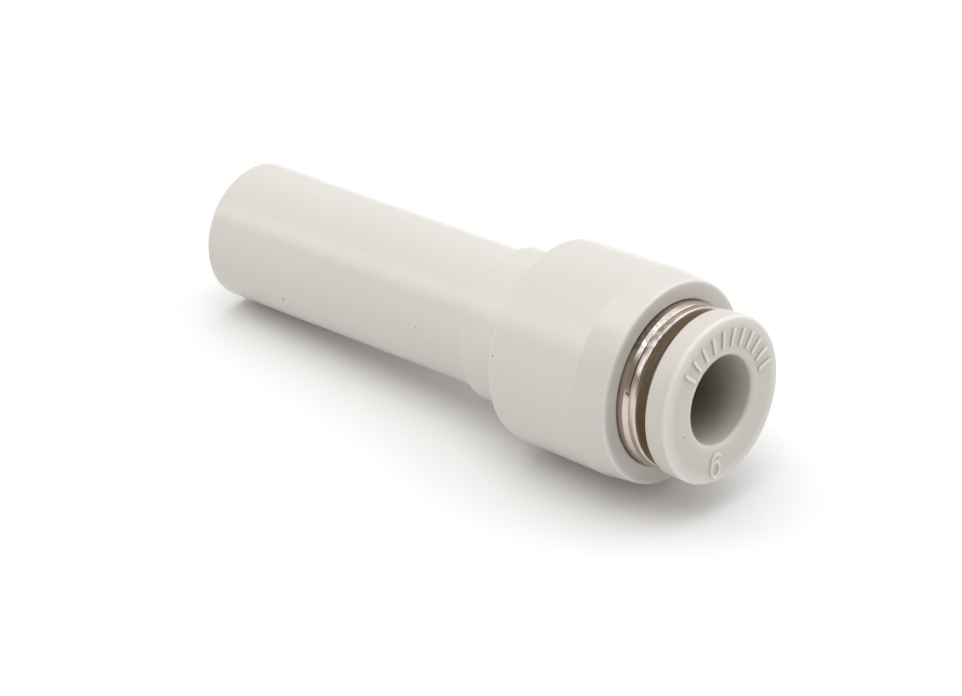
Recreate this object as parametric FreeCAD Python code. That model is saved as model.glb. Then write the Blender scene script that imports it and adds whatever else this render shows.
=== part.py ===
import FreeCAD, Part
import math
import os

# A straight plug-in reducer for pneumatic tube. Its plug end goes into a larger push-in fitting,
# and a smaller tube pushes into its other end, past a release ring and a toothed claw ring, through
# a seal, down to a shoulder. Every piece is round about the Z axis. The origin is the centre of the
# plug's end face, and +Z runs along the axis towards the release ring. Lengths are in millimetres.

# A rounded corner is turned as two flats, and an edge break up to this size as one
largest_single_flat = 0.25

# The body, moulded in one piece: plug, collar and barrel
plug_diameter = 10.0
plug_length = 25.47
plug_edge_radius = 0.4
plug_bore_diameter = 6.6
collar_diameter = 11.06
collar_length = 4.15
collar_edge_break = 0.12
barrel_back_diameter = 14.53
barrel_ridge_diameter = 14.8
barrel_front_diameter = 14.32
barrel_length = 10.26
ridge_from_front = 2.56
barrel_back_break = 0.24
barrel_front_radius = 0.3
mouth_break = 0.25

# The way that the tube takes, and the shoulder that stops it
tube_diameter = 6.0
tube_clearance = 0.03
stop_bore_diameter = 4.6
stop_length = 1.5
stop_cone_length = 0.9
lead_in_break = 0.2

# The stack inside the barrel, from the front inwards: guide ring, claw ring, back ring, seal
guide_diameter = 11.52
guide_depth = 4.0
guide_projection = 1.42
guide_bead_diameter = 11.58
guide_bead_height = 0.42
guide_lip_diameter = 11.4
guide_lip_length = 0.62
guide_edge_break = 0.15
guide_groove_width = 0.12
guide_groove_depth = 0.05
guide_rim_width = 0.95
barb_count = 2
barb_pitch = 0.8
barb_height = 0.1
claw_thickness = 0.3
claw_bend_diameter = 8.2
claw_tooth_angle = 40.0
claw_bite = 0.08
claw_slot_width = 0.5
claw_slot_root = 0.25
tooth_count = 8
back_ring_length = 1.6
back_ring_clearance = 0.3
back_ring_bore_gap = 0.12
seal_diameter = 10.0
seal_length = 2.6
seal_squeeze = 0.12
seal_heel_length = 1.1
seal_lip_thickness = 0.45
seat_gap = 0.05

# The release ring, which slides in the guide ring
release_clearance = 0.13
head_diameter = 11.84
head_back_diameter = 11.68
head_length = 1.81
head_edge_radius = 0.35
head_back_break = 0.08
head_gap = 1.0
head_mouth_radius = 0.35
sleeve_wall = 1.0
sleeve_clearance = 0.05
nose_wall = 0.65
snap_ridge_height = 0.4
snap_ridge_length = 0.9
snap_slot_count = 4
snap_slot_width = 0.8
snap_slot_run = 1.2
press_clearance = 0.05

# Raised bars on the release ring's face, on the side away from the size mark
bar_count = 11
bar_spacing_degrees = 12.5
bar_middle_degrees = -58.0
bar_width = 0.26
bar_length = 1.3
bar_height = 0.15
bar_middle_radius = 4.45

# Levels along the axis that follow from the sizes above
collar_back = plug_length
barrel_back = collar_back + collar_length
barrel_front = barrel_back + barrel_length
stop_level = collar_back + stop_length
guide_front = barrel_front + guide_projection
claw_top = barrel_front - guide_depth
claw_bottom = claw_top - claw_thickness
seal_top = claw_bottom - back_ring_length
seal_floor = seal_top - seal_length
head_back = guide_front + head_gap
head_front = head_back + head_length
release_travel = head_gap - press_clearance

# Radii that follow from the sizes above
tube_way_radius = tube_diameter / 2 + tube_clearance
release_bore_radius = tube_diameter / 2 + release_clearance
guide_radius = guide_diameter / 2
guide_bead_radius = guide_bead_diameter / 2
guide_lip_radius = guide_lip_diameter / 2
seal_radius = seal_diameter / 2
claw_bend_radius = claw_bend_diameter / 2
sleeve_radius = release_bore_radius + sleeve_wall
nose_radius = release_bore_radius + nose_wall
snap_ridge_radius = sleeve_radius + snap_ridge_height

# The snap ridge stays clear of the claw ring when the release ring is pressed right in
snap_ridge_bottom = claw_top + release_travel + press_clearance
snap_ridge_top = snap_ridge_bottom + snap_ridge_length
guide_step = snap_ridge_top + press_clearance

tooth_slope = math.radians(claw_tooth_angle)
axis_start = FreeCAD.Vector(0, 0, 0)
axis_direction = FreeCAD.Vector(0, 0, 1)
overlong = 2 * head_front


def section_point(radius, height):
    """A point of a profile, which is drawn in the XZ plane."""
    return FreeCAD.Vector(radius, 0, height)


def rounded_corner(before, corner, after, rounding):
    """Start, middle and end of the rounding of a corner, tangent to both of its sides."""
    to_before = (before - corner).normalize()
    to_after = (after - corner).normalize()
    half_angle = to_before.getAngle(to_after) / 2
    inwards = (to_before + to_after).normalize()
    set_back = rounding / math.tan(half_angle)
    middle_distance = rounding / math.sin(half_angle) - rounding
    return corner + to_before * set_back, corner + inwards * middle_distance, corner + to_after * set_back


def turned(corners):
    """A solid of revolution from its section: corners of (radius, height, rounding), in order."""
    sharp = [section_point(radius, height) for radius, height, _ in corners]
    section = []
    for index, (_, _, rounding) in enumerate(corners):
        if not rounding:
            section.append(sharp[index])
            continue
        after = sharp[(index + 1) % len(sharp)]
        start, middle, end = rounded_corner(sharp[index - 1], sharp[index], after, rounding)
        if rounding > largest_single_flat:
            section += [start, middle, end]
        else:
            section += [start, end]
    face = Part.Face(Part.makePolygon(section + section[:1]))
    return face.revolve(axis_start, axis_direction, 360)


def around_axis(shape, degrees):
    """A copy of a shape, turned about the Z axis."""
    copy = shape.copy()
    copy.rotate(axis_start, axis_direction, degrees)
    return copy


def radial_slots(count, width, bottom, top, first_degrees=0.0, reach=overlong):
    """Cutters for slots that start at the axis and run outwards, spread evenly round it."""
    cutter = Part.makeBox(reach, width, top - bottom, FreeCAD.Vector(0, -width / 2, bottom))
    return [around_axis(cutter, first_degrees + 360.0 * index / count) for index in range(count)]


def tooth_top_level(radius):
    """Height of the claw teeth's upper face at a radius inside the bend."""
    return claw_top - (claw_bend_radius - radius) * math.tan(tooth_slope)


def guide_barbs():
    """Corners of the saw-tooth barbs round the guide ring, which hold it in the barrel."""
    foot = claw_top + barb_pitch / 2
    corners = [(guide_radius, foot, 0)]
    for index in range(1, barb_count + 1):
        corners.append((guide_radius + barb_height, foot + index * barb_pitch, 0))
        corners.append((guide_radius, foot + index * barb_pitch, 0))
    return corners


def guide_seat():
    """The space that the guide ring fills inside the barrel, up to the barrel's front face."""
    return turned(
        [(0, claw_top, 0), (guide_radius, claw_top, 0)]
        + guide_barbs()
        + [(guide_radius, barrel_front, 0), (0, barrel_front, 0)]
    )


def make_body():
    """Plug, collar and barrel as one moulding, with the flow bore and the stepped socket inside."""
    plug_radius = plug_diameter / 2
    plug_bore_radius = plug_bore_diameter / 2
    collar_radius = collar_diameter / 2
    stop_bore_radius = stop_bore_diameter / 2
    ridge_level = barrel_front - ridge_from_front
    shell = turned([
        (plug_bore_radius, 0, lead_in_break),
        (plug_radius, 0, plug_edge_radius),
        (plug_radius, collar_back, 0),
        (collar_radius, collar_back, collar_edge_break),
        (collar_radius, barrel_back, 0),
        (barrel_back_diameter / 2, barrel_back, barrel_back_break),
        (barrel_ridge_diameter / 2, ridge_level, 0),
        (barrel_front_diameter / 2, barrel_front, barrel_front_radius),
        (guide_radius, barrel_front, mouth_break),
        (guide_radius, seal_top, 0),
        (seal_radius, seal_top, 0),
        (seal_radius, seal_floor, 0),
        (tube_way_radius, seal_floor, lead_in_break),
        (tube_way_radius, stop_level, 0),
        (stop_bore_radius, stop_level, 0),
        (stop_bore_radius, collar_back, 0),
        (plug_bore_radius, collar_back - stop_cone_length, 0),
    ])
    return shell.cut(guide_seat())


def make_guide_ring():
    """Plated metal ring pressed into the barrel: a funnel lets the release ring's legs in, a step holds them."""
    upper_bore = sleeve_radius + sleeve_clearance
    lower_bore = snap_ridge_radius + sleeve_clearance
    rim_radius = guide_lip_radius - guide_rim_width
    groove_level = guide_front - guide_lip_length
    half_groove = guide_groove_width / 2
    return turned(
        [(lower_bore, claw_top, 0), (guide_radius, claw_top, 0)]
        + guide_barbs()
        + [
            (guide_radius, barrel_front, 0),
            (guide_bead_radius, barrel_front + guide_bead_height, 0),
            (guide_lip_radius, groove_level - half_groove, 0),
            (guide_lip_radius - guide_groove_depth, groove_level, 0),
            (guide_lip_radius, groove_level + half_groove, 0),
            (guide_lip_radius, guide_front, guide_edge_break),
            (rim_radius, guide_front, 0),
            (upper_bore, guide_front - (rim_radius - upper_bore), 0),
            (upper_bore, guide_step, 0),
            (lower_bore, guide_step, 0),
        ]
    )


def make_claw_ring():
    """Spring steel washer with slit teeth, bent inwards and down, so that they bite the tube."""
    rim_radius = guide_radius - seat_gap
    tip_radius = tube_diameter / 2 - claw_bite
    tip_level = tooth_top_level(tip_radius)
    under_bend_radius = claw_bend_radius + claw_thickness * math.tan(tooth_slope / 2)
    under_tip_radius = tip_radius + claw_thickness * math.sin(tooth_slope)
    under_tip_level = tip_level - claw_thickness * math.cos(tooth_slope)
    claw = turned([
        (rim_radius, claw_top, 0),
        (claw_bend_radius, claw_top, 0),
        (tip_radius, tip_level, 0),
        (under_tip_radius, under_tip_level, 0),
        (under_bend_radius, claw_bottom, 0),
        (rim_radius, claw_bottom, 0),
    ])
    slot_reach = claw_bend_radius + claw_slot_root
    return claw.cut(radial_slots(tooth_count, claw_slot_width, 0, overlong, 0.0, slot_reach))


def make_back_ring():
    """Moulded ring that carries the claw ring's rim and closes the seal's chamber."""
    outer_radius = guide_radius - seat_gap
    inner_radius = tube_way_radius + back_ring_bore_gap
    hollow_radius = claw_bend_radius + back_ring_clearance
    hollow_level = claw_bottom - (hollow_radius - inner_radius) * math.tan(tooth_slope)
    return turned([
        (inner_radius, seal_top, 0),
        (outer_radius, seal_top, 0),
        (outer_radius, claw_bottom, 0),
        (hollow_radius, claw_bottom, 0),
        (inner_radius, hollow_level, 0),
    ])


def make_seal():
    """Rubber seal with a lip on the chamber's wall and one on the tube, open towards the pressure."""
    lip_radius = tube_diameter / 2 - seal_squeeze
    heel_radius = tube_way_radius + back_ring_bore_gap
    lip_end = seal_floor + seat_gap
    top = seal_top - seat_gap
    groove_level = top - seal_heel_length
    middle_radius = (heel_radius + seal_radius) / 2
    return turned([
        (seal_radius, lip_end, 0),
        (seal_radius, top, 0),
        (heel_radius, top, 0),
        (heel_radius, groove_level, 0),
        (lip_radius, lip_end + seal_lip_thickness, 0),
        (heel_radius, lip_end, 0),
        (heel_radius + seal_lip_thickness, lip_end, 0),
        (middle_radius, groove_level, 0),
        (seal_radius - seal_lip_thickness, lip_end, 0),
    ])


def face_bars():
    """Raised radial bars in an arc on the release ring's face."""
    inner_end = bar_middle_radius - bar_length / 2
    corner = FreeCAD.Vector(inner_end, -bar_width / 2, head_front)
    bar = Part.makeBox(bar_length, bar_width, bar_height, corner)
    first = bar_middle_degrees - bar_spacing_degrees * (bar_count - 1) / 2
    return [around_axis(bar, first + bar_spacing_degrees * index) for index in range(bar_count)]


def make_release_ring():
    """Sleeve with a pressing head outside, and split snap legs inside whose nose opens the claw teeth."""
    nose_lift = release_travel + press_clearance
    ring = turned([
        (release_bore_radius, tooth_top_level(release_bore_radius) + nose_lift, 0),
        (nose_radius, tooth_top_level(nose_radius) + nose_lift, 0),
        (nose_radius, snap_ridge_bottom, 0),
        (snap_ridge_radius, snap_ridge_bottom + snap_ridge_length / 2, 0),
        (snap_ridge_radius, snap_ridge_top, 0),
        (sleeve_radius, snap_ridge_top, 0),
        (sleeve_radius, head_back, 0),
        (head_back_diameter / 2, head_back, head_back_break),
        (head_diameter / 2, head_front, head_edge_radius),
        (release_bore_radius, head_front, head_mouth_radius),
    ])
    slot_top = snap_ridge_top + snap_slot_run
    slots = radial_slots(snap_slot_count, snap_slot_width, 0, slot_top, 45.0)
    return ring.cut(slots).fuse(face_bars()).removeSplitter()


pieces = {
    "body": make_body,
    "seal": make_seal,
    "back_ring": make_back_ring,
    "claw_ring": make_claw_ring,
    "guide_ring": make_guide_ring,
    "release_ring": make_release_ring,
}

os.makedirs("parts", exist_ok=True)
for name, make in pieces.items():
    shape = make()
    solid = shape.Solids[0] if len(shape.Solids) == 1 else shape
    solid.exportStep("parts/" + name + ".step")
    box = solid.BoundBox
    print(name, "valid", solid.isValid(), "solids", len(solid.Solids), "volume", round(solid.Volume, 2),
          "z", round(box.ZMin, 3), "to", round(box.ZMax, 3), "width", round(box.XLength, 3))
print("release ring travel", release_travel, "overall length", head_front + bar_height)
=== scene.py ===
import math

import bmesh
import bpy
from mathutils import Matrix, Vector


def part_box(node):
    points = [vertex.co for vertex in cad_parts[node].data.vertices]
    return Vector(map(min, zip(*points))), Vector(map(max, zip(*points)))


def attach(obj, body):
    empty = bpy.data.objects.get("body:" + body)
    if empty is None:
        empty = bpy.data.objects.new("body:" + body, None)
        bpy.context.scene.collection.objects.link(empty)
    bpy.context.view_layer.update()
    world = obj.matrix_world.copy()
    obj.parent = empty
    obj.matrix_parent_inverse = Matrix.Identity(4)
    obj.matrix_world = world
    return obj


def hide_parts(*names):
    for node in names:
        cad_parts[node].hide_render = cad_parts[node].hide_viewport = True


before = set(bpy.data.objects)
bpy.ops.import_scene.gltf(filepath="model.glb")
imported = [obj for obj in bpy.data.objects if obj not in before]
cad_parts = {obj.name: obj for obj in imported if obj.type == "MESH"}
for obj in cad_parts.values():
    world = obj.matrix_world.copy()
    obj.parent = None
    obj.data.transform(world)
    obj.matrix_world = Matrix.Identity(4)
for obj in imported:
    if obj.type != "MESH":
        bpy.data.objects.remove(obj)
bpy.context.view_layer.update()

# A pneumatic plug-in reducer, lying in soft daylight on white paper. The frame stands it on its plug,
# with +Z along its axis, so the paper is a plane that touches it along its side, and the camera is
# rolled to match. Sizes are in millimetres until they reach a mesh.

MM = 0.001
FULL_TURN = 2 * math.pi


def level(name, end):
    """Lowest (0) or highest (1) level of a CAD node along the axis, in millimetres."""
    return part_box(name)[end].z / MM


def widest(name):
    """Largest radius of a CAD node, in millimetres."""
    low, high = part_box(name)
    return (high.x - low.x) / 2 / MM


# How far the raised marks stand out of the release ring's face
BAR_HEIGHT = 0.15

# Levels and a radius taken from the frame
BARREL_FRONT = level("body", 1)
GUIDE_FRONT = level("guide_ring", 1)
CLAW_TOP = level("guide_ring", 0)
SEAL_TOP = level("back_ring", 0)
HEAD_FRONT = level("release_ring", 1) - BAR_HEIGHT
RIDGE_RADIUS = widest("body")

# The body: plug, collar and barrel
PLUG_RADIUS = 5.0
PLUG_LENGTH = 25.47
PLUG_BORE = 3.3
PLUG_EDGE = 0.4
COLLAR_RADIUS = 5.53
COLLAR_EDGE = 0.12
BARREL_BACK = 29.62
BARREL_BACK_RADIUS = 7.265
BARREL_BACK_EDGE = 0.24
RIDGE_LEVEL = BARREL_FRONT - 2.56
BARREL_FRONT_RADIUS = 7.16
BARREL_FRONT_EDGE = 0.3
ROOT_RADIUS = 0.1
MOUTH_EDGE = 0.25
SEAL_RADIUS = 5.0
SEAL_FLOOR = SEAL_TOP - 2.6
TUBE_WAY = 3.03
LEAD_IN = 0.2
STOP_LEVEL = 26.97
STOP_BORE = 2.3
STOP_CONE = 0.9

# The guide ring
GUIDE_RADIUS = 5.76
GUIDE_EDGE = 0.15
GUIDE_BEAD_RADIUS = 5.79
GUIDE_BEAD_HEIGHT = 0.42
GUIDE_LIP_RADIUS = 5.70
GROOVE_LEVEL = GUIDE_FRONT - 0.62
GROOVE_WIDTH = 0.12
GROOVE_DEPTH = 0.05
BARB_COUNT = 2
BARB_PITCH = 0.8
BARB_HEIGHT = 0.1
GUIDE_RIM_RADIUS = 4.75
GUIDE_UPPER_BORE = 4.18
GUIDE_LOWER_BORE = 4.58
GUIDE_STEP = CLAW_TOP + 1.95

# The release ring
RING_BORE = 3.13
HEAD_RADIUS = 5.92
HEAD_BACK_RADIUS = 5.84
SLEEVE_RADIUS = 4.13
NOSE_RADIUS = 3.78
SNAP_RADIUS = 4.53
SNAP_BOTTOM = CLAW_TOP + 1.0
SNAP_TOP = SNAP_BOTTOM + 0.9
NOSE_LOW = level("release_ring", 0)
TOOTH_SLOPE = math.radians(40)
HEAD_BACK = HEAD_FRONT - 1.81
HEAD_EDGE = 0.35
HEAD_BACK_EDGE = 0.08
HEAD_MOUTH_EDGE = 0.35
SLOT_COUNT = 4
SLOT_WIDTH = 0.8
SLOT_TOP = SNAP_TOP + 1.2
SLOT_AZIMUTH = 45
CUT_PAST = 1.0

# Raised marks on the release ring's face. Azimuths and spacing are in degrees.
MARK_AZIMUTH = 124.8
MARK_CENTRE_RADIUS = 4.56
MARK_STROKE_RADIUS = 0.135
MARK_FINENESS = 3
BAR_COUNT = 11
BAR_SPACING = 12.5
BAR_MIDDLE = -58.0
BAR_WIDTH = 0.26
BAR_LENGTH = 1.3
BAR_ROUNDING = BAR_WIDTH * 0.45
BAR_SEGMENTS = 4
BAR_CENTRE_RADIUS = 4.45
SINK = 0.02

# The 6 as one stroke, from its upper end: steps across and up from its middle, in millimetres
SIX_STROKE = [
    (0.34, 0.65), (0.03, 0.82), (-0.28, 0.65), (-0.4, 0.19), (-0.4, -0.31), (-0.23, -0.69), (0.07, -0.83),
    (0.33, -0.67), (0.42, -0.29), (0.34, 0.07), (0.08, 0.27), (-0.23, 0.14), (-0.39, -0.17),
]

# How finely a turned piece is divided, and how it is shaded. MERGE_WITHIN is in metres.
STEPS_ROUND = 160
ARC_SEGMENTS = 6
ROUND_PROFILE = 0.5
MERGE_WITHIN = 1e-7
SMOOTH_BELOW = math.radians(32)
LARGE_FACE_WEIGHT = 100
CREASE_LEVELS = [
    RIDGE_LEVEL,
    BARREL_FRONT + GUIDE_BEAD_HEIGHT,
    GROOVE_LEVEL - GROOVE_WIDTH / 2,
    GROOVE_LEVEL + GROOVE_WIDTH / 2,
    GUIDE_FRONT - GUIDE_EDGE,
]
CREASE_WITHIN = 0.001


def select_points(mesh, place):
    """In edit mode, selects only the vertices at a place."""
    edit = bmesh.from_edit_mesh(mesh)
    for vertex in edit.verts:
        vertex.select = (vertex.co - place).length < MERGE_WITHIN
    edit.select_flush_mode()
    bmesh.update_edit_mesh(mesh)


def round_corner(mesh, corners, index):
    """In edit mode, rounds one corner of an outline with an arc of its own radius."""
    radius, height, rounding = corners[index]
    last_radius, last_height, _ = corners[index - 1]
    next_radius, next_height, _ = corners[(index + 1) % len(corners)]
    corner = Vector((radius, 0, height))
    before = Vector((last_radius, 0, last_height)) - corner
    after = Vector((next_radius, 0, next_height)) - corner
    set_back = rounding / math.tan(before.angle(after) / 2)
    select_points(mesh, corner * MM)
    bpy.ops.mesh.bevel(
        offset_type="OFFSET",
        offset=set_back * MM,
        segments=ARC_SEGMENTS,
        profile=ROUND_PROFILE,
        affect="VERTICES",
    )


def turned_piece(name, corners):
    """A piece turned about the axis: its section is drawn corner by corner, rounded, and spun."""
    bpy.ops.object.select_all(action="DESELECT")
    bpy.ops.mesh.primitive_plane_add(size=MM)
    piece = bpy.context.object
    piece.name = name
    bpy.ops.object.mode_set(mode="EDIT")
    bpy.ops.mesh.select_mode(type="VERT")
    bpy.ops.mesh.select_all(action="SELECT")
    bpy.ops.mesh.merge(type="CENTER")
    bpy.ops.transform.translate(value=(corners[0][0] * MM, 0, corners[0][1] * MM))
    for (radius, height, _), (next_radius, next_height, _) in zip(corners, corners[1:]):
        step = ((next_radius - radius) * MM, 0, (next_height - height) * MM)
        bpy.ops.mesh.extrude_vertices_move(TRANSFORM_OT_translate={"value": step})
    bpy.ops.mesh.select_all(action="SELECT")
    bpy.ops.mesh.edge_face_add()
    for index, (_, _, rounding) in enumerate(corners):
        if rounding:
            round_corner(piece.data, corners, index)
    bpy.ops.mesh.select_all(action="SELECT")
    bpy.ops.mesh.delete(type="ONLY_FACE")
    bpy.ops.mesh.select_all(action="SELECT")
    bpy.ops.mesh.spin(steps=STEPS_ROUND, angle=FULL_TURN, center=(0, 0, 0), axis=(0, 0, 1))
    bpy.ops.mesh.select_all(action="SELECT")
    bpy.ops.mesh.remove_doubles(threshold=MERGE_WITHIN)
    bpy.ops.mesh.normals_make_consistent(inside=False)
    bpy.ops.object.mode_set(mode="OBJECT")
    return piece


def select_only(piece):
    """Selects one piece and makes it the active one."""
    bpy.ops.object.select_all(action="DESELECT")
    piece.select_set(True)
    bpy.context.view_layer.objects.active = piece


def apply_modifier(piece, kind, **settings):
    """Adds a modifier, sets it up and applies it."""
    select_only(piece)
    modifier = piece.modifiers.new(kind.lower(), kind)
    for key, value in settings.items():
        setattr(modifier, key, value)
    bpy.ops.object.modifier_apply(modifier=modifier.name)


def finish_shading(piece):
    """Smooth shading, with flat faces, sharp corners and the shallow creases in CREASE_LEVELS kept."""
    select_only(piece)
    bpy.ops.object.shade_smooth_by_angle(angle=SMOOTH_BELOW)
    places = [vertex.co.z / MM for vertex in piece.data.vertices]
    for edge in piece.data.edges:
        ends = [places[index] for index in edge.vertices]
        if any(max(abs(end - crease) for end in ends) < CREASE_WITHIN for crease in CREASE_LEVELS):
            edge.use_edge_sharp = True
    apply_modifier(piece, "WEIGHTED_NORMAL", keep_sharp=True, weight=LARGE_FACE_WEIGHT)


def guide_barbs():
    """Saw-tooth barbs round the guide ring, sunk in the barrel's wall."""
    foot = CLAW_TOP + BARB_PITCH / 2
    corners = [(GUIDE_RADIUS, foot, 0)]
    for index in range(1, BARB_COUNT + 1):
        corners.append((GUIDE_RADIUS + BARB_HEIGHT, foot + index * BARB_PITCH, 0))
        corners.append((GUIDE_RADIUS, foot + index * BARB_PITCH, 0))
    return corners


def make_body():
    """Plug, collar and barrel, with the flow bore and the stepped socket."""
    outside = [
        (PLUG_BORE, 0, LEAD_IN),
        (PLUG_RADIUS, 0, PLUG_EDGE),
        (PLUG_RADIUS, PLUG_LENGTH, ROOT_RADIUS),
        (COLLAR_RADIUS, PLUG_LENGTH, COLLAR_EDGE),
        (COLLAR_RADIUS, BARREL_BACK, ROOT_RADIUS),
        (BARREL_BACK_RADIUS, BARREL_BACK, BARREL_BACK_EDGE),
        (RIDGE_RADIUS, RIDGE_LEVEL, 0),
        (BARREL_FRONT_RADIUS, BARREL_FRONT, BARREL_FRONT_EDGE),
    ]
    inside = [
        (GUIDE_RADIUS, BARREL_FRONT, MOUTH_EDGE),
        *reversed(guide_barbs()),
        (GUIDE_RADIUS, SEAL_TOP, 0),
        (SEAL_RADIUS, SEAL_TOP, 0),
        (SEAL_RADIUS, SEAL_FLOOR, 0),
        (TUBE_WAY, SEAL_FLOOR, LEAD_IN),
        (TUBE_WAY, STOP_LEVEL, 0),
        (STOP_BORE, STOP_LEVEL, 0),
        (STOP_BORE, PLUG_LENGTH, 0),
        (PLUG_BORE, PLUG_LENGTH - STOP_CONE, 0),
    ]
    return turned_piece("body_moulding", outside + inside)


def make_guide_ring():
    """Turned ring with a fine groove, plated bright."""
    return turned_piece("guide_ring_turning", [
        (GUIDE_LOWER_BORE, CLAW_TOP, 0),
        (GUIDE_RADIUS, CLAW_TOP, 0),
        *guide_barbs(),
        (GUIDE_RADIUS, BARREL_FRONT, 0),
        (GUIDE_BEAD_RADIUS, BARREL_FRONT + GUIDE_BEAD_HEIGHT, 0),
        (GUIDE_LIP_RADIUS, GROOVE_LEVEL - GROOVE_WIDTH / 2, 0),
        (GUIDE_LIP_RADIUS - GROOVE_DEPTH, GROOVE_LEVEL, 0),
        (GUIDE_LIP_RADIUS, GROOVE_LEVEL + GROOVE_WIDTH / 2, 0),
        (GUIDE_LIP_RADIUS, GUIDE_FRONT, GUIDE_EDGE),
        (GUIDE_RIM_RADIUS, GUIDE_FRONT, GUIDE_EDGE),
        (GUIDE_UPPER_BORE, GUIDE_FRONT - (GUIDE_RIM_RADIUS - GUIDE_UPPER_BORE), 0),
        (GUIDE_UPPER_BORE, GUIDE_STEP, 0),
        (GUIDE_LOWER_BORE, GUIDE_STEP, 0),
    ])


def box_between(name, low, high):
    """A box between two corners, in millimetres, shaped in edit mode from a cube."""
    bpy.ops.object.select_all(action="DESELECT")
    bpy.ops.mesh.primitive_cube_add(size=MM)
    box = bpy.context.object
    box.name = name
    low = Vector(low)
    high = Vector(high)
    bpy.ops.object.mode_set(mode="EDIT")
    bpy.ops.mesh.select_all(action="SELECT")
    bpy.ops.transform.resize(value=tuple(high - low))
    bpy.ops.transform.translate(value=tuple((low + high) / 2 * MM))
    bpy.ops.object.mode_set(mode="OBJECT")
    return box


def turn_mesh(piece, degrees):
    """Turns a piece's mesh about the axis."""
    piece.data.transform(Matrix.Rotation(math.radians(degrees), 4, "Z"))


def make_release_ring():
    """Sleeve with its pressing head, and split snap legs cut by a cross of slots."""
    slope = math.tan(TOOTH_SLOPE)
    ring = turned_piece("release_ring_moulding", [
        (RING_BORE, NOSE_LOW, 0),
        (NOSE_RADIUS, NOSE_LOW + (NOSE_RADIUS - RING_BORE) * slope, 0),
        (NOSE_RADIUS, SNAP_BOTTOM, 0),
        (SNAP_RADIUS, (SNAP_BOTTOM + SNAP_TOP) / 2, 0),
        (SNAP_RADIUS, SNAP_TOP, 0),
        (SLEEVE_RADIUS, SNAP_TOP, 0),
        (SLEEVE_RADIUS, HEAD_BACK, ROOT_RADIUS),
        (HEAD_BACK_RADIUS, HEAD_BACK, HEAD_BACK_EDGE),
        (HEAD_RADIUS, HEAD_FRONT, HEAD_EDGE),
        (RING_BORE, HEAD_FRONT, HEAD_MOUTH_EDGE),
    ])
    reach = SNAP_RADIUS + SLOT_WIDTH
    for index in range(SLOT_COUNT // 2):
        cutter = box_between(
            "slot_cutter",
            (-reach, -SLOT_WIDTH / 2, NOSE_LOW - CUT_PAST),
            (reach, SLOT_WIDTH / 2, SLOT_TOP),
        )
        turn_mesh(cutter, SLOT_AZIMUTH + index * 360 / SLOT_COUNT)
        apply_modifier(ring, "BOOLEAN", operation="DIFFERENCE", object=cutter, solver="EXACT")
        bpy.data.objects.remove(cutter)
    return ring


def join(name, pieces):
    """Joins pieces into the first one."""
    bpy.ops.object.select_all(action="DESELECT")
    for piece in pieces:
        piece.select_set(True)
    bpy.context.view_layer.objects.active = pieces[0]
    bpy.ops.object.join()
    pieces[0].name = name
    return pieces[0]


def make_face_bars():
    """Raised radial bars in an arc on the release ring's face, with rounded ends and tops."""
    bar = box_between(
        "face_bar",
        (BAR_CENTRE_RADIUS - BAR_LENGTH / 2, -BAR_WIDTH / 2, HEAD_FRONT - SINK),
        (BAR_CENTRE_RADIUS + BAR_LENGTH / 2, BAR_WIDTH / 2, HEAD_FRONT + BAR_HEIGHT),
    )
    apply_modifier(bar, "BEVEL", width=BAR_ROUNDING * MM, segments=BAR_SEGMENTS, limit_method="NONE")
    bars = []
    for index in range(BAR_COUNT):
        copy = bar.copy()
        copy.data = bar.data.copy()
        bpy.context.scene.collection.objects.link(copy)
        turn_mesh(copy, BAR_MIDDLE + BAR_SPACING * (index - (BAR_COUNT - 1) / 2))
        bars.append(copy)
    bpy.data.objects.remove(bar)
    return join("face_bars", bars)


def make_size_mark():
    """The raised 6 on the release ring's face: one round stroke, its top towards the bore."""
    stroke = bpy.data.curves.new("size_mark_stroke", "CURVE")
    stroke.dimensions = "3D"
    stroke.bevel_depth = MARK_STROKE_RADIUS * MM
    stroke.bevel_resolution = MARK_FINENESS
    stroke.use_fill_caps = True
    spline = stroke.splines.new("BEZIER")
    spline.bezier_points.add(len(SIX_STROKE) - 1)
    height = HEAD_FRONT + BAR_HEIGHT - MARK_STROKE_RADIUS
    for point, (across, up) in zip(spline.bezier_points, SIX_STROKE):
        point.co = Vector((MARK_CENTRE_RADIUS - up, across, height)) * MM
        point.handle_left_type = "AUTO"
        point.handle_right_type = "AUTO"
    mark = bpy.data.objects.new("size_mark_6", stroke)
    bpy.context.scene.collection.objects.link(mark)
    select_only(mark)
    bpy.ops.object.convert(target="MESH")
    turn_mesh(mark, MARK_AZIMUTH)
    return mark


def linear(hex_colour):
    """An sRGB hex colour as linear RGBA."""
    parts = [int(hex_colour[place:place + 2], 16) / 255 for place in (1, 3, 5)]
    bent = [part / 12.92 if part <= 0.04045 else ((part + 0.055) / 1.055) ** 2.4 for part in parts]
    return [*bent, 1.0]


def node(tree, kind, inputs=None, output=0, **settings):
    """Adds a node with its settings and its inputs' links or values, and gives one of its outputs."""
    made = tree.nodes.new(kind)
    for key, value in settings.items():
        setattr(made, key, value)
    for key, value in (inputs or {}).items():
        if isinstance(value, bpy.types.NodeSocket):
            tree.links.new(value, made.inputs[key])
        else:
            made.inputs[key].default_value = value
    return made.outputs[output] if made.outputs else None


# A Mix node's inputs, for two numbers or for two colours, and its settings for colours
FACTOR = 0
FIRST_NUMBER = 2
SECOND_NUMBER = 3
FIRST = 6
SECOND = 7
COLOURS = {"output": 2, "data_type": "RGBA"}


def new_material(name):
    """An empty node material, and its tree."""
    material = bpy.data.materials.new(name)
    material.use_nodes = True
    material.node_tree.nodes.clear()
    return material, material.node_tree


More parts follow.
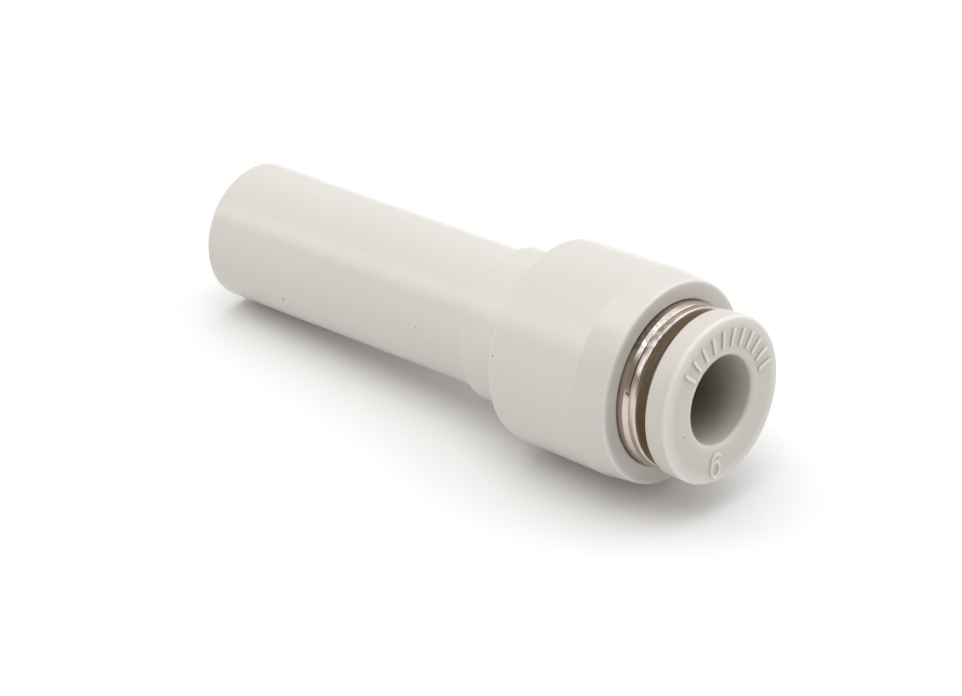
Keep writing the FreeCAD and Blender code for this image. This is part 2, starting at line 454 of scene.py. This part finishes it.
def from_axis(tree, place):
    """Distance from the fitting's axis."""
    across = node(tree, "ShaderNodeVectorMath", {0: place, 1: (1, 1, 0)}, operation="MULTIPLY")
    return node(tree, "ShaderNodeVectorMath", {0: across}, "Value", operation="LENGTH")


def on_side(azimuth, height, radius):
    """A point on a round surface, in metres, from its azimuth in degrees."""
    angle = math.radians(azimuth)
    return Vector((radius * math.cos(angle), radius * math.sin(angle), height)) * MM


# Dark specks in the resin: place, and radius in millimetres
BODY_SPECKS = [
    (on_side(66.4, 7.45, PLUG_RADIUS), 0.11),
    (on_side(43.3, 20.85, PLUG_RADIUS), 0.06),
    (on_side(32.3, 29.99, BARREL_BACK_RADIUS), 0.07),
    (on_side(78.6, 30.98, BARREL_BACK_RADIUS), 0.05),
    (on_side(79.1, 31.27, BARREL_BACK_RADIUS), 0.05),
]
RING_SPECKS = [(on_side(60.6, HEAD_FRONT, 4.2), 0.075)]
SPECK_COLOUR = "#3A3530"

# Small dark nicks in the plating, and how a speck or nick fades, in shares of its radius
RING_NICKS = [
    (on_side(29.7, BARREL_FRONT + 0.63, GUIDE_RADIUS), 0.12),
    (on_side(30.6, BARREL_FRONT + 0.78, GUIDE_RADIUS), 0.12),
]
NICK_COLOUR = "#2E2923"
SPECK_STRENGTH = 0.75
SPECK_CORE = 0.5
SPECK_END = 1.3


def with_specks(tree, place, colour, specks, dirt):
    """Darkens a colour at small round specks."""
    dark = linear(dirt)
    for centre, radius in specks:
        away = node(tree, "ShaderNodeVectorMath", {0: place, 1: centre}, "Value", operation="DISTANCE")
        inside = node(tree, "ShaderNodeMapRange", {
            "Value": away,
            "From Min": radius * SPECK_CORE * MM,
            "From Max": radius * SPECK_END * MM,
            "To Min": SPECK_STRENGTH,
            "To Max": 0,
        })
        colour = node(tree, "ShaderNodeMix", {FACTOR: inside, FIRST: colour, SECOND: dark}, **COLOURS)
    return colour


# Rims painted paler, as painted light on the edges: radius and level of the rounding's middle, reach in
# millimetres, and strength
BODY_LIT_RIMS = [
    (BARREL_FRONT_RADIUS - BARREL_FRONT_EDGE / 3, BARREL_FRONT - BARREL_FRONT_EDGE / 3, 0.6, 0.8),
    (PLUG_RADIUS - PLUG_EDGE / 3, PLUG_EDGE / 3, 0.7, 0.4),
]
RING_LIT_RIMS = [
    (HEAD_RADIUS - HEAD_EDGE / 3, HEAD_FRONT - HEAD_EDGE / 3, 1.0, 1.0),
    (RING_BORE + HEAD_MOUTH_EDGE / 3, HEAD_FRONT - HEAD_MOUTH_EDGE / 3, 0.7, 0.5),
]
RIM_LIGHT_COLOUR = "#E8E4DF"

# The band of painted light reaches this much less far down a side than across a face
RIM_FLATNESS = 4


def with_painted_rim_light(tree, place, colour, painted_lit_rims):
    """Paints each rim paler near its rounding, as painted light on the edges."""
    height = node(tree, "ShaderNodeSeparateXYZ", {"Vector": place}, "Z")
    section = node(tree, "ShaderNodeCombineXYZ", {"X": from_axis(tree, place), "Z": height})
    pale = linear(RIM_LIGHT_COLOUR)
    for radius, rim_level, reach, strength in painted_lit_rims:
        # Painted light: the colour is painted paler towards the middle of each rim's rounding
        rim = Vector((radius, 0, rim_level)) * MM
        step = node(tree, "ShaderNodeVectorMath", {0: section, 1: rim}, operation="SUBTRACT")
        step = node(tree, "ShaderNodeVectorMath", {0: step, 1: (1, 1, RIM_FLATNESS)}, operation="MULTIPLY")
        away = node(tree, "ShaderNodeVectorMath", {0: step}, "Value", operation="LENGTH")
        near = node(tree, "ShaderNodeMapRange", {
            "Value": away, "From Min": 0, "From Max": reach * MM, "To Min": strength, "To Max": 0,
        })
        colour = node(tree, "ShaderNodeMix", {FACTOR: near, FIRST: colour, SECOND: pale}, **COLOURS)
    return colour


# Painted light and shade: how high above the face the marks' tops are painted paler, and how deep in the
# bore it is painted darker
PAINTED_MARK_LIGHT_FROM = 0.03
PAINTED_MARK_LIGHT_TO = 0.12
PAINTED_MARK_LIGHT_COLOUR = "#E2DED6"
BORE_SHADE_FROM = 0.5
BORE_SHADE_TO = 4.0
BORE_SHADE_COLOUR = "#A9A498"
BORE_CLEARANCE = 0.1


def with_painted_mark_light_and_bore_shade(tree, place, colour):
    """Paints the raised marks' tops paler, as painted light, and the bore darker deeper in, as painted
    shade.
    """
    height = node(tree, "ShaderNodeSeparateXYZ", {"Vector": place}, "Z")
    # Painted light: the marks' tops are painted paler above this height
    mark_light = node(tree, "ShaderNodeMapRange", {
        "Value": height,
        "From Min": (HEAD_FRONT + PAINTED_MARK_LIGHT_FROM) * MM,
        "From Max": (HEAD_FRONT + PAINTED_MARK_LIGHT_TO) * MM,
    })
    pale = linear(PAINTED_MARK_LIGHT_COLOUR)
    colour = node(tree, "ShaderNodeMix", {FACTOR: mark_light, FIRST: colour, SECOND: pale}, **COLOURS)
    # Painted shade: the bore is painted darker from just inside its mouth to deeper in
    bore = node(tree, "ShaderNodeMath", {
        0: from_axis(tree, place),
        1: (RING_BORE + BORE_CLEARANCE) * MM,
    }, operation="LESS_THAN")
    deep = node(tree, "ShaderNodeMapRange", {
        "Value": height,
        "From Min": (HEAD_FRONT - BORE_SHADE_FROM) * MM,
        "From Max": (HEAD_FRONT - BORE_SHADE_TO) * MM,
    })
    bore_shade = node(tree, "ShaderNodeMath", {0: bore, 1: deep}, operation="MULTIPLY")
    bore_shade_tone = linear(BORE_SHADE_COLOUR)
    return node(tree, "ShaderNodeMix", {FACTOR: bore_shade, FIRST: colour, SECOND: bore_shade_tone}, **COLOURS)


# Resin: patches left by its flow into the mould and how deep light goes into it, in millimetres.
# COLOUR_DEPTHS is how deep red, green and blue go, as shares of that.
RESIN_FLOW = 6.0
RESIN_DEPTH = 0.8
COLOUR_DEPTHS = (1.0, 0.9, 0.8)
RESIN_TRANSLUCENCY = 0.12
RESIN_IOR = 1.53
GRAIN_STRENGTH = 0.5
ROUGHNESS_VARIES = 0.03


def moulded_resin(name, pale, deep, roughness, grain, grain_height, painted_lit_rims=(), specks=(), painted_light_and_shade=False):
    """Injection-moulded resin: opaque, a little translucent at edges, satin, with a fine mould grain, and
    painted light on given rims.

    The grain is drawn coarser than the real one, so that it shows."""
    material, tree = new_material(name)
    place = node(tree, "ShaderNodeTexCoord", output="Object")
    flow = node(tree, "ShaderNodeTexNoise", {
        "Vector": place, "Scale": 1 / (RESIN_FLOW * MM), "Detail": 3.0,
    }, "Fac")
    tones = {FACTOR: flow, FIRST: linear(pale), SECOND: linear(deep)}
    colour = node(tree, "ShaderNodeMix", tones, **COLOURS)
    colour = with_painted_rim_light(tree, place, colour, painted_lit_rims)
    if painted_light_and_shade:
        colour = with_painted_mark_light_and_bore_shade(tree, place, colour)
    grains = node(tree, "ShaderNodeTexNoise", {
        "Vector": place, "Scale": 1 / (grain * MM), "Detail": 2.0,
    }, "Fac")
    shader = node(tree, "ShaderNodeBsdfPrincipled", {
        "Base Color": with_specks(tree, place, colour, specks, SPECK_COLOUR),
        "Roughness": node(tree, "ShaderNodeMapRange", {
            "Value": flow,
            "To Min": roughness - ROUGHNESS_VARIES,
            "To Max": roughness + ROUGHNESS_VARIES,
        }),
        "Normal": node(tree, "ShaderNodeBump", {
            "Height": grains, "Strength": GRAIN_STRENGTH, "Distance": grain_height * MM,
        }),
        "IOR": RESIN_IOR,
        "Subsurface Weight": RESIN_TRANSLUCENCY,
        "Subsurface Radius": COLOUR_DEPTHS,
        "Subsurface Scale": RESIN_DEPTH * MM,
    })
    node(tree, "ShaderNodeOutputMaterial", {"Surface": shader})
    return material


# Plating: turning lines and stains, in millimetres
TURNING_PITCH = 0.09
TURNING_HEIGHT = 0.004
TURNING_STRENGTH = 0.35
STAIN_SIZE = 1.6
PLATING_ROUGHNESS = 0.15
STAINED_ROUGHNESS = 0.22
FRONT_FACE_ROUGHNESS = 0.5

# Scuffs round one place on the plating, partly as painted shade that dims the top lamp's reflection there,
# in millimetres, and the noise levels they come from
SCUFF_MIDDLE = on_side(-13, BARREL_FRONT + 0.6, GUIDE_RADIUS)
SCUFF_REACH = 1.0
SCUFF_END = 2.6
SCUFF_SIZE = 0.36
SCUFF_FLATNESS = 1.3
SCUFF_NOISE_LOW = 0.42
SCUFF_NOISE_HIGH = 0.58
SCUFF_WEAKEST = 0.35
SCUFF_STRONGEST = 0.85
SCUFFED_ROUGHNESS = 0.26


def turning_lines(tree, place):
    """Fine lines round the axis, left by turning, as a normal."""
    height = node(tree, "ShaderNodeSeparateXYZ", {"Vector": place}, "Z")
    line = node(tree, "ShaderNodeMath", {0: height, 1: 1 / (TURNING_PITCH * MM)}, operation="MULTIPLY")
    along = node(tree, "ShaderNodeCombineXYZ", {"Z": line})
    lines = node(tree, "ShaderNodeTexNoise", {"Vector": along, "Scale": 1.0, "Detail": 2.0}, "Fac")
    return node(tree, "ShaderNodeBump", {
        "Height": lines, "Strength": TURNING_STRENGTH, "Distance": TURNING_HEIGHT * MM,
    })


def near_scuffs(tree, place):
    """1 in the middle of the scuffed place, 0 away from it."""
    away = node(tree, "ShaderNodeVectorMath", {0: place, 1: SCUFF_MIDDLE}, "Value", operation="DISTANCE")
    return node(tree, "ShaderNodeMapRange", {
        "Value": away,
        "From Min": SCUFF_REACH * MM,
        "From Max": SCUFF_END * MM,
        "To Min": 1,
        "To Max": 0,
    })


def nickel_plate():
    """Bright nickel over turned brass: warm grey, its sharp reflections drawn out by turning lines.

    Its front face and bore are painted darker and brownish, as painted shade in the gap under the head,
    and made matt. One place on its side is scuffed darker, partly as painted shade that dims the top
    lamp's reflection there."""
    material, tree = new_material("nickel_plated_brass")
    place = node(tree, "ShaderNodeTexCoord", output="Object")
    stain = node(tree, "ShaderNodeTexNoise", {
        "Vector": place, "Scale": 1 / (STAIN_SIZE * MM), "Detail": 3.0,
    }, "Fac")
    bright = linear("#D8CDC6")
    stained = linear("#C4B6AD")
    plated = node(tree, "ShaderNodeMix", {FACTOR: stain, FIRST: bright, SECOND: stained}, **COLOURS)
    # Painted shade: inside the lip's edge, the front face and bore are painted darker and brownish, as
    # shade in the gap under the head
    gap_shade = node(tree, "ShaderNodeMapRange", {
        "Value": from_axis(tree, place),
        "From Min": (GUIDE_LIP_RADIUS - GUIDE_EDGE) * MM,
        "From Max": (GUIDE_LIP_RADIUS - 2 * GUIDE_EDGE) * MM,
    })
    scuff_place = node(tree, "ShaderNodeMapping", {"Vector": place, "Scale": (1, 1, SCUFF_FLATNESS)})
    scuffs = node(tree, "ShaderNodeTexNoise", {
        "Vector": scuff_place, "Scale": 1 / (SCUFF_SIZE * MM), "Detail": 2.0,
    }, "Fac")
    scuffs = node(tree, "ShaderNodeMapRange", {
        "Value": scuffs,
        "From Min": SCUFF_NOISE_LOW,
        "From Max": SCUFF_NOISE_HIGH,
        "To Min": SCUFF_WEAKEST,
        "To Max": SCUFF_STRONGEST,
    })
    painted_light_and_shade = near_scuffs(tree, place)
    scuffs = node(tree, "ShaderNodeMath", {0: scuffs, 1: painted_light_and_shade}, operation="MULTIPLY")
    # Scuffs painted darker, partly as painted shade that dims the top lamp's reflection on this place
    scuff_and_reflection_shade = linear("#827D75")
    plated = node(tree, "ShaderNodeMix", {FACTOR: scuffs, FIRST: plated, SECOND: scuff_and_reflection_shade}, **COLOURS)
    gap_shade_colour = linear("#A8977C")
    colour = node(tree, "ShaderNodeMix", {FACTOR: gap_shade, FIRST: plated, SECOND: gap_shade_colour}, **COLOURS)
    gloss = node(tree, "ShaderNodeMapRange", {
        "Value": stain, "To Min": PLATING_ROUGHNESS, "To Max": STAINED_ROUGHNESS,
    })
    gloss = node(tree, "ShaderNodeMix", {
        FACTOR: painted_light_and_shade, FIRST_NUMBER: gloss, SECOND_NUMBER: SCUFFED_ROUGHNESS,
    })
    gloss = node(tree, "ShaderNodeMix", {
        FACTOR: gap_shade, FIRST_NUMBER: gloss, SECOND_NUMBER: FRONT_FACE_ROUGHNESS,
    })
    shader = node(tree, "ShaderNodeBsdfPrincipled", {
        "Base Color": with_specks(tree, place, colour, RING_NICKS, NICK_COLOUR),
        "Metallic": 1.0,
        "Roughness": gloss,
        "Normal": turning_lines(tree, place),
    })
    node(tree, "ShaderNodeOutputMaterial", {"Surface": shader})
    return material


# Patches of bloom on the rubber and streaks on the strip, in millimetres
RUBBER_BLOOM = 1.2
STREAK_SIZE = 0.8
STREAK_STRETCH = 12


def seal_rubber():
    """Moulded nitrile rubber: near black, dull, with a faint grey bloom."""
    material, tree = new_material("nitrile_rubber")
    place = node(tree, "ShaderNodeTexCoord", output="Object")
    bloom = node(tree, "ShaderNodeTexNoise", {
        "Vector": place, "Scale": 1 / (RUBBER_BLOOM * MM), "Detail": 3.0,
    }, "Fac")
    tones = {FACTOR: bloom, FIRST: linear("#1C1C1B"), SECOND: linear("#2A2928")}
    shader = node(tree, "ShaderNodeBsdfPrincipled", {
        "Base Color": node(tree, "ShaderNodeMix", tones, **COLOURS),
        "Roughness": node(tree, "ShaderNodeMapRange", {"Value": bloom, "To Min": 0.55, "To Max": 0.7}),
    })
    node(tree, "ShaderNodeOutputMaterial", {"Surface": shader})
    return material


def spring_steel():
    """Stamped stainless spring strip: grey, softly brushed by rolling."""
    material, tree = new_material("stainless_spring_strip")
    place = node(tree, "ShaderNodeTexCoord", output="Object")
    rolled = node(tree, "ShaderNodeMapping", {"Vector": place, "Scale": (1, STREAK_STRETCH, 1)})
    streaks = node(tree, "ShaderNodeTexNoise", {
        "Vector": rolled, "Scale": 1 / (STREAK_SIZE * MM), "Detail": 3.0,
    }, "Fac")
    tones = {FACTOR: streaks, FIRST: linear("#BDBBB7"), SECOND: linear("#9E9C98")}
    shader = node(tree, "ShaderNodeBsdfPrincipled", {
        "Base Color": node(tree, "ShaderNodeMix", tones, **COLOURS),
        "Metallic": 1.0,
        "Roughness": node(tree, "ShaderNodeMapRange", {"Value": streaks, "To Min": 0.2, "To Max": 0.26}),
    })
    node(tree, "ShaderNodeOutputMaterial", {"Surface": shader})
    return material


# Photograph: camera and paper, in the fitting's own frame
CAMERA_AZIMUTH = 11.6
CAMERA_SLANT = 52.166
CAMERA_DISTANCE = 276.75
CAMERA_ROLL = 110.57
CAMERA_LENS = 149.69
CAMERA_SENSOR = 36.0
CAMERA_SHIFT = -0.01897
CLIP_START = 10.0
AIM_ALONG = 25.0
AIM_ASIDE = 1.922
PAPER_AZIMUTH = CAMERA_AZIMUTH - 54.36
PAPER_CLEARANCE = 0.01
PAPER_SIZE = 1200.0
PAPER_COLOUR = "#EBEBEB"
PAPER_GLOW = (1.02, 1, 0.95, 1)
PAPER_GLOW_STRENGTH = 0.04


def towards(azimuth, slant):
    """Unit vector at a slant from the axis, at an azimuth about it, both in degrees."""
    flat = math.sin(math.radians(slant))
    turn = math.radians(azimuth)
    return Vector((flat * math.cos(turn), flat * math.sin(turn), math.cos(math.radians(slant))))


def camera_place():
    """Where the camera is and what it aims at, in millimetres."""
    aside = math.radians(CAMERA_AZIMUTH + 90)
    aim = Vector((AIM_ASIDE * math.cos(aside), AIM_ASIDE * math.sin(aside), AIM_ALONG))
    return aim + towards(CAMERA_AZIMUTH, CAMERA_SLANT) * CAMERA_DISTANCE, aim


def paper_plane():
    """The paper's normal and a point on it, in millimetres.

    The fitting lies on it with the barrel's back edge and the plug's end, a hair clear of them."""
    touch_level = BARREL_BACK + BARREL_BACK_EDGE
    tilt = math.degrees(math.atan2(BARREL_BACK_RADIUS - PLUG_RADIUS, touch_level - PLUG_EDGE))
    normal = towards(PAPER_AZIMUTH, 90 - tilt)
    touch = towards(PAPER_AZIMUTH + 180, 90) * BARREL_BACK_RADIUS + Vector((0, 0, touch_level))
    return normal, touch - normal * PAPER_CLEARANCE


def set_matrix(thing, right, up, back, place_mm):
    """Places an object by its three axes and its place."""
    turn = Matrix((right, up, back)).transposed().to_4x4()
    thing.matrix_world = Matrix.Translation(place_mm * MM) @ turn


def make_camera():
    """The photograph's camera, rolled so that the fitting lies in the picture as it does there."""
    place, aim = camera_place()
    forward = (aim - place).normalized()
    level_right = forward.cross(Vector((0, 0, 1))).normalized()
    level_up = level_right.cross(forward)
    roll = math.radians(CAMERA_ROLL)
    right = level_right * math.cos(roll) + level_up * math.sin(roll)
    up = level_up * math.cos(roll) - level_right * math.sin(roll)
    camera = bpy.data.objects.new("camera", bpy.data.cameras.new("camera"))
    bpy.context.scene.collection.objects.link(camera)
    camera.data.lens = CAMERA_LENS
    camera.data.sensor_width = CAMERA_SENSOR
    camera.data.shift_x = CAMERA_SHIFT
    camera.data.clip_start = CLIP_START * MM
    set_matrix(camera, right, up, -forward, place)
    bpy.context.scene.camera = camera


def scene_axes():
    """Up from the paper, right in the picture, and along the paper towards the camera."""
    up, _ = paper_plane()
    place, aim = camera_place()
    view = place - aim
    near = (view - up * view.dot(up)).normalized()
    return up, up.cross(near), near


def make_paper():
    """White paper under the fitting. Seen from behind it lets the view through to the fitting."""
    up, right, near = scene_axes()
    _, touch = paper_plane()
    bpy.ops.object.select_all(action="DESELECT")
    bpy.ops.mesh.primitive_plane_add(size=PAPER_SIZE * MM)
    paper = bpy.context.object
    paper.name = "paper"
    set_matrix(paper, right, -near, up, touch)
    material, tree = new_material("white_paper")
    white = node(tree, "ShaderNodeBsdfDiffuse", {"Color": linear(PAPER_COLOUR)})
    glow = node(tree, "ShaderNodeEmission", {"Color": PAPER_GLOW, "Strength": PAPER_GLOW_STRENGTH})
    lifted = node(tree, "ShaderNodeAddShader", {0: white, 1: glow})
    clear = node(tree, "ShaderNodeBsdfTransparent")
    behind = node(tree, "ShaderNodeNewGeometry", output="Backfacing")
    both = node(tree, "ShaderNodeMixShader", {0: behind, 1: lifted, 2: clear})
    node(tree, "ShaderNodeOutputMaterial", {"Surface": both})
    paper.data.materials.append(material)


# The room as the fitting sees it: how bright it is straight behind and aside, and where behind is.
# A bearing is from straight away from the camera, clockwise from above. All angles are in degrees.
ROOM_BACK = 0.72
ROOM_ASIDE = 1.2
BACK_BEARING = -20
BACK_ELEVATION = 25

# Dark parts of the room: bearing, elevation, cosines of the angles where each starts and is full, colour
ROOM_SHADES = [
    (155, 15, 0.7, 0.85, "#000000"),
    (-121, 28, 0.85, 0.92, "#938A76"),
]

# Softboxes: name, bearing, elevation, width and height in millimetres, and power in watts
SOFTBOX_DISTANCE = 340.0
SOFTBOXES = [
    ("top_softbox", -105, 76, 360, 290, 0.56),
    ("right_softbox", 75, 48, 260, 240, 0.18),
    ("back_softbox", 5, 55, 130, 210, 0.05),
    ("left_softbox", -88, 31, 140, 125, 0.09),
]


def seen_from_fitting(bearing, elevation):
    """Unit vector from the fitting at a bearing and an elevation above the paper."""
    up, right, near = scene_axes()
    turn = math.radians(bearing)
    lift = math.radians(elevation)
    return (right * math.sin(turn) - near * math.cos(turn)) * math.cos(lift) + up * math.sin(lift)


def grey(strength):
    """Neutral light of a strength, as linear RGBA."""
    return strength, strength, strength, 1


def make_world():
    """A white room. The camera sees it plain white.

    The fitting's light and its plating's reflections come from the same room, where it is dimmer
    straight behind and has two dark parts."""
    world = bpy.data.worlds.new("white_room")
    bpy.context.scene.world = world
    world.use_nodes = True
    tree = world.node_tree
    tree.nodes.clear()
    way = node(tree, "ShaderNodeTexCoord", output="Generated")
    middle = seen_from_fitting(BACK_BEARING, BACK_ELEVATION)
    behind = node(tree, "ShaderNodeVectorMath", {0: way, 1: middle}, "Value", operation="DOT_PRODUCT")
    tones = {FACTOR: behind, FIRST: grey(ROOM_ASIDE), SECOND: grey(ROOM_BACK)}
    room = node(tree, "ShaderNodeMix", tones, **COLOURS)
    for bearing, elevation, start, full, shade in ROOM_SHADES:
        middle = seen_from_fitting(bearing, elevation)
        near = node(tree, "ShaderNodeVectorMath", {0: way, 1: middle}, "Value", operation="DOT_PRODUCT")
        inside = node(tree, "ShaderNodeMapRange", {"Value": near, "From Min": start, "From Max": full})
        tones = {FACTOR: inside, FIRST: room, SECOND: linear(shade)}
        room = node(tree, "ShaderNodeMix", tones, **COLOURS)
    seen = node(tree, "ShaderNodeLightPath", output="Is Camera Ray")
    shown = node(tree, "ShaderNodeMix", {FACTOR: seen, FIRST: room, SECOND: grey(1)}, **COLOURS)
    background = node(tree, "ShaderNodeBackground", {"Color": shown})
    node(tree, "ShaderNodeOutputWorld", {"Surface": background})


def make_softbox(name, bearing, elevation, width, height, watts):
    """A softbox that faces the fitting."""
    back = seen_from_fitting(bearing, elevation)
    side = seen_from_fitting(bearing - 90, 0)
    light = bpy.data.lights.new(name, "AREA")
    light.shape = "RECTANGLE"
    light.size = width * MM
    light.size_y = height * MM
    light.energy = watts
    lamp = bpy.data.objects.new(name, light)
    bpy.context.scene.collection.objects.link(lamp)
    set_matrix(lamp, side, back.cross(side), back, Vector((0, 0, AIM_ALONG)) + back * SOFTBOX_DISTANCE)


# The body's resin and the bright plating stay under a roughness of about 0.27. Above that the
# renderer takes a reflection for diffuse light, and the lamps' reflections came out as pale discs.
body_resin = moulded_resin(
    "polybutylene_body_resin", pale="#D0CCC7", deep="#CCC8C2", roughness=0.235,
    grain=0.25, grain_height=0.002, painted_lit_rims=BODY_LIT_RIMS, specks=BODY_SPECKS,
)
ring_resin = moulded_resin(
    "acetal_ring_resin", pale="#CCC8C1", deep="#C8C3BC", roughness=0.4,
    grain=0.16, grain_height=0.004, painted_lit_rims=RING_LIT_RIMS, specks=RING_SPECKS, painted_light_and_shade=True,
)
inner_resin = moulded_resin(
    "glass_filled_inner_resin", pale="#C9C4BA", deep="#BDB8AE", roughness=0.5,
    grain=0.3, grain_height=0.01,
)

new_pieces = [
    (make_body(), "fitting", "body", "body_resin", body_resin),
    (make_guide_ring(), "fitting", "guide_ring", "nickel_plate", nickel_plate()),
    (make_release_ring(), "release", "release_ring", "ring_resin", ring_resin),
    (make_face_bars(), "release", None, "ring_resin", ring_resin),
    (make_size_mark(), "release", None, "ring_resin", ring_resin),
]
for piece, body, replaced, slot, material in new_pieces:
    piece.data.materials.clear()
    piece.data.materials.append(material)
    finish_shading(piece)
    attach(piece, body)
    if replaced:
        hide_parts(replaced)

cad_finishes = [
    ("seal", seal_rubber()),
    ("back_ring", inner_resin),
    ("claw_ring", spring_steel()),
]
for name, material in cad_finishes:
    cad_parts[name].data.materials.clear()
    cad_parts[name].data.materials.append(material)

make_camera()
make_paper()
make_world()
for softbox in SOFTBOXES:
    make_softbox(*softbox)
bpy.context.scene.view_settings.view_transform = "Standard"
